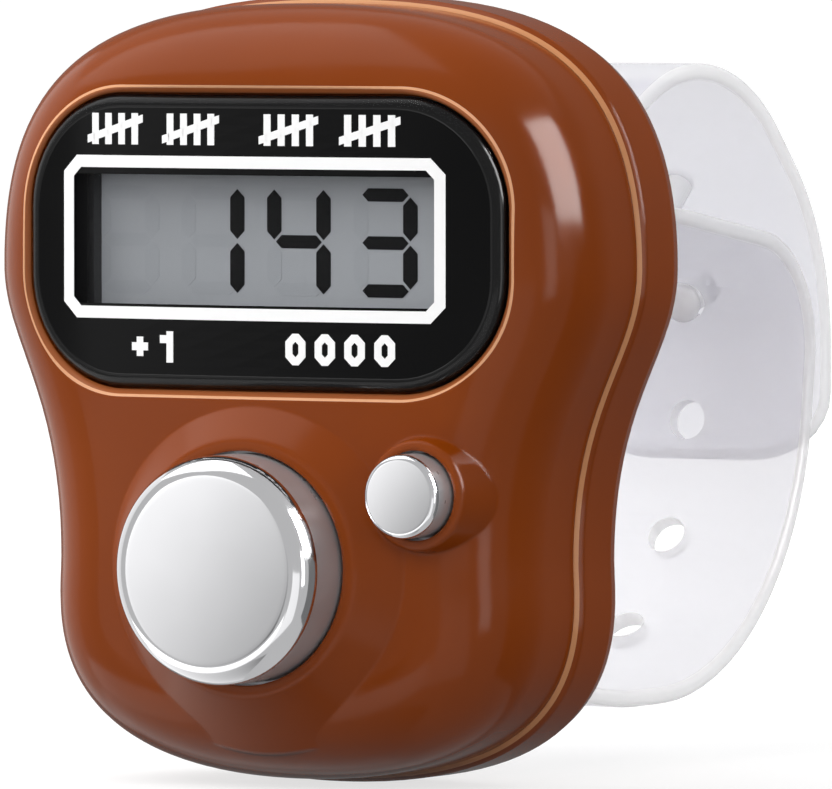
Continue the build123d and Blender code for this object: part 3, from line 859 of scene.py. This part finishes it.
def on_route(line, distance):
    """Place and direction at a distance along a route."""
    for a, b in zip(line, line[1:]):
        run = (b - a).length
        if distance <= run:
            break
        distance -= run
    direction = (b - a).normalized()
    return a + direction * distance, direction


def section(half_width):
    """Places across and through a strap with rounded edges, and whether each starts a part of an edge."""
    places = []
    half = strap_thickness / 2 - strap_edge
    for corner, (side, face) in enumerate(corner_signs):
        for step in range(edge_steps + 1):
            angle = pi / 2 * (corner + step / edge_steps)
            across = side * (half_width - strap_edge) + strap_edge * cos(angle)
            through = face * half + strap_edge * sin(angle)
            places.append((across, through, step < edge_steps or side != face))
    return places


def strap_stations(length):
    """Distances along a strap at which it is drawn, closer at its rounded tip."""
    plain = length - strap_tip
    count = int(plain / strap_step)
    stations = [plain * step / count for step in range(count)]
    return stations + [plain + strap_tip * sin(pi / 2 * step / tip_steps) for step in range(tip_steps + 1)]


def strap_shape(line):
    """Band with rounded edges and a rounded tip along a route, its edges and ends in the lighter rim
    material as a painted highlight.
    """
    shape = bmesh.new()
    length = route_length(line)
    rings = []
    for distance in strap_stations(length):
        place, direction = on_route(line, distance)
        into_tip = min(strap_tip, max(0.0, distance - (length - strap_tip)))
        half_width = strap_width / 2 - strap_tip + sqrt(strap_tip**2 - into_tip**2)
        ring = []
        for across, through, _ in section(half_width):
            spot = place + Vector((-direction.y, direction.x)) * through
            ring.append(shape.verts.new((across, spot.x, spot.y)))
        rings.append(ring)
    edges = [is_edge for _, _, is_edge in section(strap_width / 2)]
    for row in bridge(shape, rings, 0):
        for face, is_edge in zip(row, edges):
            face.material_index = int(is_edge)
    for ring in (rings[0], rings[-1]):
        shape.faces.new(ring).material_index = 1
    return shape


def add_anchor(shape, slot_z):
    """Bar that keeps a strap's root inside the case."""
    grown = bmesh.ops.create_cube(shape, size=1.0)
    bmesh.ops.scale(shape, verts=grown["verts"], vec=(strap_width, anchor_depth, anchor_height))
    bmesh.ops.translate(shape, verts=grown["verts"], vec=(0, back_y + anchor_back, slot_z))


def seat_on(place, inwards):
    """Matrix that sets a form drawn upwards on a strap, pointing inwards."""
    height = Vector((0, inwards.x, inwards.y))
    across = Vector((1, 0, 0))
    seat = Matrix((across, height.cross(across), height)).transposed().to_4x4()
    seat.translation = Vector((0, place.x, place.y))
    return seat


def peg_place(line, number):
    """Place and inward direction of a peg on the inner face of the upper strap, counted from its tip."""
    place, direction = on_route(line, route_length(line) - peg_from_tip - number * peg_pitch)
    inwards = Vector((direction.y, -direction.x))
    return place + inwards * (strap_thickness / 2), inwards


def crossing(line, origin, direction):
    """Distance along a route at which a straight line crosses it."""
    travelled = 0.0
    for a, b in zip(line, line[1:]):
        run = b - a
        turn = direction.x * run.y - direction.y * run.x
        offset = a - origin
        share = (offset.x * direction.y - offset.y * direction.x) / turn if turn else -1.0
        reach = (offset.x * run.y - offset.y * run.x) / turn if turn else -1.0
        if 0 <= share <= 1 and reach > 0:
            return travelled + share * run.length
        travelled += run.length
    return travelled


def drill(strap, seats):
    """Cuts round holes through a strap, their walls given the lighter rim material of its edges, a painted
    highlight.
    """
    shape = bmesh.new()
    depth = 2 * strap_thickness
    for seat in seats:
        add_turned(shape, [(peg_hole_radius, -depth), (peg_hole_radius, depth)], seat, 1, peg_sides)
    bmesh.ops.recalc_face_normals(shape, faces=shape.faces)
    cutter = add_object("drill", shape, strap.data.materials)
    cut = strap.modifiers.new("holes", "BOOLEAN")
    cut.object = cutter
    cut.solver = "EXACT"
    bpy.context.view_layer.update()
    evaluated = strap.evaluated_get(bpy.context.evaluated_depsgraph_get())
    pierced = bpy.data.meshes.new_from_object(evaluated)
    strap.modifiers.remove(cut)
    strap.data = pierced
    strap.data.set_sharp_from_angle(angle=sharp_bend)
    bpy.data.objects.remove(cutter)


def straps():
    """Upper strap with its pegs, and lower strap with its holes."""
    upper_line = rounded_route(upper_route, upper_radii)
    lower_line = rounded_route(lower_route, lower_radii)
    peg = [(radius * mm, height * mm) for radius, height in peg_profile]
    upper_shape = strap_shape(upper_line)
    add_anchor(upper_shape, upper_slot_z)
    for number in range(peg_count):
        # Pegs in the lighter rim material, a painted highlight
        add_turned(upper_shape, peg, seat_on(*peg_place(upper_line, number)), 1, peg_sides)
    upper = add_piece("strap_upper", upper_shape, "strap_silicone", "strap_face", "strap_rim_lit")
    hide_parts("upper_strap")
    lower_shape = strap_shape(lower_line)
    add_anchor(lower_shape, lower_slot_z)
    lower = add_piece("strap_lower", lower_shape, "strap_silicone", "strap_face", "strap_rim_lit")
    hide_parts("lower_strap")
    origin, inwards = peg_place(upper_line, 0)
    engaged = crossing(lower_line, origin, inwards)
    seats = [seat_on(on_route(lower_line, engaged)[0], inwards)]
    for step in range(-holes_below, holes_above + 1):
        if step:
            place, direction = on_route(lower_line, engaged + step * peg_pitch)
            seats.append(seat_on(place, Vector((-direction.y, direction.x))))
    drill(lower, seats)


window_label()
window_print()
display_digits()
snap_dome("count_snap_dome", "count_switch_dome")
snap_dome("reset_snap_dome", "reset_switch_dome")
plated_button("count_button", count_radius, count_edge, count_dome, count_flange_front, count_stem)
plated_button("reset_button", reset_radius, reset_edge, reset_dome, reset_flange_front, reset_stem)
straps()


# Studio


def direction_of(azimuth, elevation):
    """Direction from the object towards a place round it, in degrees. Azimuth 0 is in front."""
    turn = radians(azimuth)
    rise = radians(elevation)
    return Vector((sin(turn) * cos(rise), -cos(turn) * cos(rise), sin(rise)))


def aim(item, azimuth, elevation, distance):
    """Sets an item at a place round the case, facing the middle of its front."""
    towards = direction_of(azimuth, elevation)
    item.location = studio_middle + towards * distance
    item.rotation_euler = towards.to_track_quat("Z", "Y").to_euler()


def unmirrored(item):
    """Keeps an item out of glossy surfaces."""
    item.visible_glossy = False


def glossy_only(item):
    """Lets an item show in glossy surfaces alone."""
    item.visible_camera = False
    item.visible_diffuse = False
    item.visible_transmission = False
    item.visible_shadow = False


def add_plane(name, half_size, material):
    """Level square about the origin that isn't part of the object."""
    shape = bmesh.new()
    bmesh.ops.create_grid(shape, x_segments=1, y_segments=1, size=half_size)
    plane = add_object(name, shape, [material])
    return plane


def largest(tree, first, second):
    """The larger of two values."""
    either = tree.nodes.new("ShaderNodeMath")
    either.operation = "MAXIMUM"
    tree.links.new(first, either.inputs[0])
    tree.links.new(second, either.inputs[1])
    return either.outputs["Value"]


def span(tree, value, low, high, full=1.0):
    """Turns a value from 0 to full into a range."""
    turned = tree.nodes.new("ShaderNodeMapRange")
    turned.inputs["From Max"].default_value = full
    turned.inputs["To Min"].default_value = low
    turned.inputs["To Max"].default_value = high
    tree.links.new(value, turned.inputs["Value"])
    return turned.outputs["Result"]


def seen_directly(tree, path):
    """1 for what the camera sees straight on or through glass, and 0 for the rest."""
    return largest(tree, path.outputs["Is Camera Ray"], path.outputs["Is Transmission Ray"])


def floor_material():
    """Pale floor that keeps shadows and looks white from the camera."""
    material = plain_material("floor_white")
    shader = shader_of(material)
    shader.inputs["Base Color"].default_value = floor_tone
    shader.inputs["Roughness"].default_value = floor_roughness
    shader.inputs["Specular IOR Level"].default_value = 0.0
    shader.inputs["Emission Color"].default_value = white
    tree = material.node_tree
    path = tree.nodes.new("ShaderNodeLightPath")
    place = tree.nodes.new("ShaderNodeTexCoord")
    away = tree.nodes.new("ShaderNodeVectorMath")
    away.operation = "LENGTH"
    seen = tree.nodes.new("ShaderNodeMath")
    seen.operation = "MULTIPLY"
    tree.links.new(place.outputs["Object"], away.inputs[0])
    glow = span(tree, away.outputs["Value"], floor_glow_near, floor_glow_far, full=floor_fade)
    tree.links.new(glow, seen.inputs[0])
    tree.links.new(seen_directly(tree, path), seen.inputs[1])
    tree.links.new(seen.outputs["Value"], shader.inputs["Emission Strength"])
    return material


def light_world():
    """White surroundings that light the object evenly."""
    world = bpy.data.worlds.new("studio")
    world.use_nodes = True
    tree = world.node_tree
    background = tree.nodes["Background"]
    background.inputs["Color"].default_value = white
    path = tree.nodes.new("ShaderNodeLightPath")
    direct = span(tree, seen_directly(tree, path), world_light, 1.0)
    mirrored = span(tree, path.outputs["Is Glossy Ray"], world_light, world_mirrored)
    tree.links.new(largest(tree, direct, mirrored), background.inputs["Strength"])
    bpy.context.scene.world = world


def softbox(name, azimuth, elevation, distance, width, height, brightness):
    """Rectangular lamp aimed at the front of the case."""
    data = bpy.data.lights.new(name, "AREA")
    data.shape = "RECTANGLE"
    data.size = width
    data.size_y = height
    data.energy = brightness * pi * width * height
    lamp = bpy.data.objects.new(name, data)
    aim(lamp, azimuth, elevation, distance)
    bpy.context.scene.collection.objects.link(lamp)
    return lamp


def card(name, azimuth, elevation, distance, width, height, dark, light):
    """Card that shows only in glossy surfaces, brightest at its upper corner of smaller azimuth."""
    material = plain_material(name)
    shader = shader_of(material)
    shader.inputs["Base Color"].default_value = black
    shader.inputs["Specular IOR Level"].default_value = 0.0
    shader.inputs["Emission Color"].default_value = white
    tree = material.node_tree
    place = tree.nodes.new("ShaderNodeTexCoord")
    slope = tree.nodes.new("ShaderNodeVectorMath")
    slope.operation = "DOT_PRODUCT"
    slope.inputs[1].default_value = (-unit_half, unit_half, 0.0)
    raised = tree.nodes.new("ShaderNodeMath")
    raised.inputs[1].default_value = unit_half
    tree.links.new(place.outputs["Generated"], slope.inputs[0])
    tree.links.new(slope.outputs["Value"], raised.inputs[0])
    tree.links.new(span(tree, raised.outputs["Value"], dark, light), shader.inputs["Emission Strength"])
    panel = add_plane(name, unit_half, material)
    panel.scale = (width, height, 1.0)
    aim(panel, azimuth, elevation, distance)
    glossy_only(panel)


def add_camera():
    """Camera at the photograph's viewing angle and scale."""
    turn = radians(view_azimuth)
    right = Vector((cos(turn), sin(turn), 0))
    data = bpy.data.cameras.new("camera")
    data.lens = pixels_per_metre * view_distance * data.sensor_width / image_width
    data.clip_end = view_reach
    camera = bpy.data.objects.new("camera", data)
    aim(camera, view_azimuth, view_elevation, view_distance)
    camera.location += right * ((image_width / 2 - crown_pixel) / pixels_per_metre)
    bpy.context.scene.collection.objects.link(camera)
    bpy.context.scene.camera = camera


floor = add_plane("floor", floor_size, floor_material())
floor.location.z = floor_z
unmirrored(floor)
light_world()
for name, row in lamp_rows.items():
    unmirrored(softbox(name, *row))
glossy_only(softbox("shoulder_box", *shoulder_row))
for name, row in card_rows.items():
    card(name, *row)
add_camera()
bpy.context.scene.view_settings.view_transform = "Standard"
